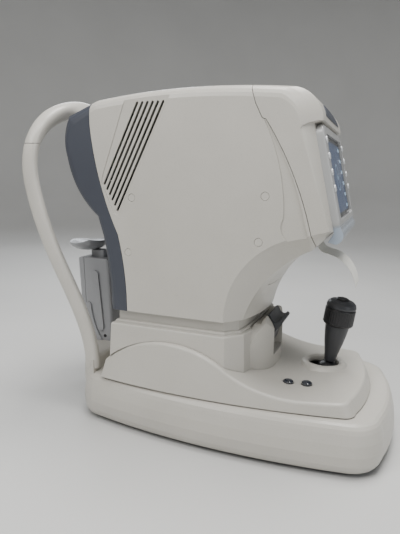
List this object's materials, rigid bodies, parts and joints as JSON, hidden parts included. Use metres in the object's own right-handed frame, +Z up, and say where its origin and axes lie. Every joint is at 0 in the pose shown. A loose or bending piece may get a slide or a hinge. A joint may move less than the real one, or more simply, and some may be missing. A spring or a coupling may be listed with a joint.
{
  "type": "autorefractor",
  "caption": "Table-top eye-refraction instrument: base with chinrest and headrest arch, moving stage with joystick, and a measuring head with display and printer that rises and falls.",
  "frame": {"origin": "on the table, under the middle of the overall length and width", "axes": "+X from the patient's side to the operator's side, +Y to the side of the inlet and joystick, +Z up"},
  "size_m": [0.5, 0.2602, 0.4491],
  "materials": {
    "cover_plastic": "fine textured, warm light grey",
    "collar_plastic": "speckled texture, warm grey",
    "bezel_plastic": "fine textured, dark slate blue",
    "chin_plastic": "slightly glossy, mid grey",
    "headrest_plastic": "smooth satin cream",
    "soft_pad": "soft silicone",
    "foot_rubber": "matt",
    "black_plastic": "satin black",
    "lever_plastic": "satin charcoal",
    "button_plastic": "polished dark dome",
    "key_plastic": "polished blue grey",
    "screen_frame": "satin bluish white",
    "screen_glass": "glossy dark display",
    "window_glass": "coated, dark tint",
    "lens_glass": "coated lens",
    "plug_plastic": "smooth",
    "steel_plate": "powder coated",
    "steel": "ground",
    "aluminium": "milled",
    "brass_gear": "machined",
    "board": "circuit board",
    "paper": "thermal paper"
  },
  "bodies": {
    "base": {"base_cover": "cover_plastic", "base_plate": "steel_plate", "rubber_feet": "foot_rubber", "drive_racks": "steel", "power_inlet": "black_plastic", "power_supply": "aluminium", "main_board": "board", "headrest_leg_left": "headrest_plastic", "headrest_leg_right": "headrest_plastic", "headrest_arch": "headrest_plastic", "forehead_pad": "soft_pad", "chin_column": "chin_plastic", "chin_motor": "black_plastic"},
    "power_switch": {"power_switch": "black_plastic"},
    "chin_screw": {"chin_screw": "steel"},
    "chinrest": {"chin_post": "chin_plastic", "chin_cup": "chin_plastic"},
    "carriage": {"shaft_carrier": "aluminium"},
    "cross_shaft": {"cross_shaft": "steel", "pinion_wheels": "brass_gear"},
    "stage": {"stage_cover": "cover_plastic", "stage_frame": "aluminium", "neck_collar": "collar_plastic", "lift_guides": "steel", "lift_motor": "black_plastic"},
    "lift_screw": {"lift_screw": "steel"},
    "head": {"front_bezel": "bezel_plastic", "left_side_cover": "cover_plastic", "right_side_cover": "cover_plastic", "back_cover": "cover_plastic", "cover_plugs": "plug_plastic", "measuring_window": "window_glass", "lcd_frame": "screen_frame", "lcd_screen": "screen_glass", "head_frame": "aluminium", "optics_barrel": "aluminium", "objective_lens": "lens_glass", "led_ring": "board", "camera_module": "black_plastic", "printer_unit": "black_plastic", "paper_strip": "paper"},
    "lock_lever": {"lock_lever": "lever_plastic"},
    "chin_up_button": {"chin_up_button": "button_plastic"},
    "chin_down_button": {"chin_down_button": "button_plastic"},
    "gimbal": {"gimbal_ring": "steel"},
    "joystick": {"joystick_shaft": "black_plastic", "joystick_grip": "lever_plastic"},
    "height_ring": {"height_ring": "black_plastic"},
    "measure_button": {"measure_button": "black_plastic"},
    "printer_cover": {"printer_cover": "cover_plastic"},
    "paper_roll": {"paper_roll": "paper"},
    "target_carriage": {"target_carriage": "aluminium"},
    "key_left_1": {"key_left_1": "key_plastic"},
    "key_left_2": {"key_left_2": "key_plastic"},
    "key_left_3": {"key_left_3": "key_plastic"},
    "key_left_4": {"key_left_4": "key_plastic"},
    "key_right_1": {"key_right_1": "key_plastic"},
    "key_right_2": {"key_right_2": "key_plastic"},
    "key_right_3": {"key_right_3": "key_plastic"},
    "key_right_4": {"key_right_4": "key_plastic"}
  },
  "joints": [
    {"name": "power_rocker", "type": "hinge", "parent": "base", "child": "power_switch", "pos_m": [-0.034, 0.121, 0.034], "axis": [1, 0, 0], "range_deg": [-9, 0]},
    {"name": "chin_screw_turn", "type": "hinge", "parent": "base", "child": "chin_screw", "pos_m": [-0.198, 0, 0.14], "axis": [0, 0, 1], "continuous": true},
    {"name": "chin_lift", "type": "slide", "parent": "base", "child": "chinrest", "axis": [0, 0, 1], "range_m": [-0.006, 0.059]},
    {"name": "stage_x", "type": "slide", "parent": "base", "child": "carriage", "axis": [1, 0, 0], "range_m": [-0.008, 0.03]},
    {"name": "shaft_turn", "type": "hinge", "parent": "carriage", "child": "cross_shaft", "pos_m": [0, 0, 0.036], "axis": [0, 1, 0], "continuous": true},
    {"name": "stage_y", "type": "slide", "parent": "carriage", "child": "stage", "axis": [0, 1, 0], "range_m": [-0.043, 0.043]},
    {"name": "lift_screw_turn", "type": "hinge", "parent": "stage", "child": "lift_screw", "pos_m": [-0.04, 0, 0.19], "axis": [0, 0, 1], "continuous": true},
    {"name": "head_lift", "type": "slide", "parent": "stage", "child": "head", "axis": [0, 0, 1], "range_m": [-0.012, 0.02]},
    {"name": "lever_turn", "type": "hinge", "parent": "stage", "child": "lock_lever", "pos_m": [0.08, 0, 0.118], "axis": [0, 1, 0], "range_deg": [0, 25]},
    {"name": "chin_up_press", "type": "slide", "parent": "stage", "child": "chin_up_button", "axis": [0, 0, -1], "range_m": [0, 0.0015], "stiffness_N_per_m": 100, "springref_m": -0.001},
    {"name": "chin_down_press", "type": "slide", "parent": "stage", "child": "chin_down_button", "axis": [0, 0, -1], "range_m": [0, 0.0015], "stiffness_N_per_m": 100, "springref_m": -0.001},
    {"name": "stick_fore_aft", "type": "hinge", "parent": "stage", "child": "gimbal", "pos_m": [0.1576, 0.026, 0.072], "axis": [0, 1, 0], "range_deg": [-22, 6]},
    {"name": "stick_side", "type": "hinge", "parent": "gimbal", "child": "joystick", "pos_m": [0.1576, 0.026, 0.072], "axis": [0.9903, 0, -0.1392], "range_deg": [-14, 14]},
    {"name": "height_turn", "type": "hinge", "parent": "joystick", "child": "height_ring", "pos_m": [0.1576, 0.026, 0.072], "axis": [0.1392, 0, 0.9903], "continuous": true},
    {"name": "measure_press", "type": "slide", "parent": "joystick", "child": "measure_button", "axis": [-0.1392, 0, -0.9903], "range_m": [0, 0.002], "stiffness_N_per_m": 150, "springref_m": -0.001},
    {"name": "printer_cover_swing", "type": "hinge", "parent": "head", "child": "printer_cover", "pos_m": [0.0935, 0, 0.2065], "axis": [0, 1, 0], "range_deg": [0, 45]},
    {"name": "roll_turn", "type": "hinge", "parent": "head", "child": "paper_roll", "pos_m": [0.092, 0, 0.272], "axis": [0, 1, 0], "continuous": true},
    {"name": "target_slide", "type": "slide", "parent": "head", "child": "target_carriage", "axis": [1, 0, 0], "range_m": [-0.012, 0.03]},
    {"name": "key_left_1_press", "type": "slide", "parent": "head", "child": "key_left_1", "axis": [-0.9744, 0, -0.225], "range_m": [0, 0.001], "stiffness_N_per_m": 80, "springref_m": -0.0005},
    {"name": "key_left_2_press", "type": "slide", "parent": "head", "child": "key_left_2", "axis": [-0.9744, 0, -0.225], "range_m": [0, 0.001], "stiffness_N_per_m": 80, "springref_m": -0.0005},
    {"name": "key_left_3_press", "type": "slide", "parent": "head", "child": "key_left_3", "axis": [-0.9744, 0, -0.225], "range_m": [0, 0.001], "stiffness_N_per_m": 80, "springref_m": -0.0005},
    {"name": "key_left_4_press", "type": "slide", "parent": "head", "child": "key_left_4", "axis": [-0.9744, 0, -0.225], "range_m": [0, 0.001], "stiffness_N_per_m": 80, "springref_m": -0.0005},
    {"name": "key_right_1_press", "type": "slide", "parent": "head", "child": "key_right_1", "axis": [-0.9744, 0, -0.225], "range_m": [0, 0.001], "stiffness_N_per_m": 80, "springref_m": -0.0005},
    {"name": "key_right_2_press", "type": "slide", "parent": "head", "child": "key_right_2", "axis": [-0.9744, 0, -0.225], "range_m": [0, 0.001], "stiffness_N_per_m": 80, "springref_m": -0.0005},
    {"name": "key_right_3_press", "type": "slide", "parent": "head", "child": "key_right_3", "axis": [-0.9744, 0, -0.225], "range_m": [0, 0.001], "stiffness_N_per_m": 80, "springref_m": -0.0005},
    {"name": "key_right_4_press", "type": "slide", "parent": "head", "child": "key_right_4", "axis": [-0.9744, 0, -0.225], "range_m": [0, 0.001], "stiffness_N_per_m": 80, "springref_m": -0.0005}
  ],
  "couplings": [
    {"joint": "chin_screw_turn", "follows": "chin_lift", "rad_per_m": 1256.6},
    {"joint": "shaft_turn", "follows": "stage_x", "rad_per_m": 83.333},
    {"joint": "lift_screw_turn", "follows": "head_lift", "rad_per_m": 1570.8}
  ]
}
